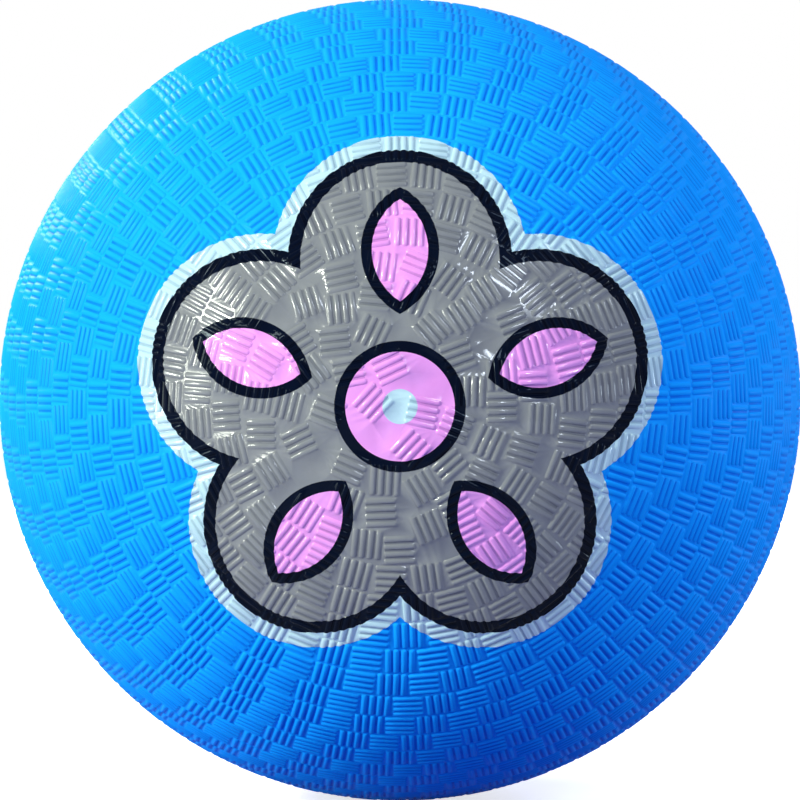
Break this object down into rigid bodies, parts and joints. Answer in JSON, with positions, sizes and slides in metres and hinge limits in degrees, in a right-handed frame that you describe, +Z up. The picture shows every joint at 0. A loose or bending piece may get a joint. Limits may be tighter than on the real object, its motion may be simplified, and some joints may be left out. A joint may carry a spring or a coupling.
{
  "type": "dodgeball",
  "caption": "Round rubber play ball with a moulded basket-weave grip, a printed flower on the front and an inflation needle valve on the back.",
  "frame": {"origin": "centre of the ball", "axes": "+Y out along the valve's axis, -Y out through the middle of the print, +Z up with the print upright, +X to the right as the print is looked at"},
  "size_m": [0.2158, 0.216, 0.2158],
  "materials": {
    "cover_rubber": "moulded, satin",
    "cord": "nylon cord bound with latex",
    "bladder_rubber": "matte",
    "patch_rubber": "matte",
    "valve_rubber": "satin",
    "core_rubber": "satin",
    "white_ink": "screen-printed ink, semi-gloss",
    "black_ink": "screen-printed ink, semi-gloss",
    "taupe_ink": "screen-printed ink, semi-gloss",
    "pink_ink": "screen-printed ink, semi-gloss"
  },
  "bodies": {
    "root": {"cover_front": "cover_rubber", "cover_back": "cover_rubber", "cord_winding": "cord", "bladder": "bladder_rubber", "valve_patch": "patch_rubber", "valve_body": "valve_rubber", "valve_core": "core_rubber", "print_white": "white_ink", "print_black": "black_ink", "print_taupe": "taupe_ink", "print_pink": "pink_ink"}
  },
  "joints": []
}
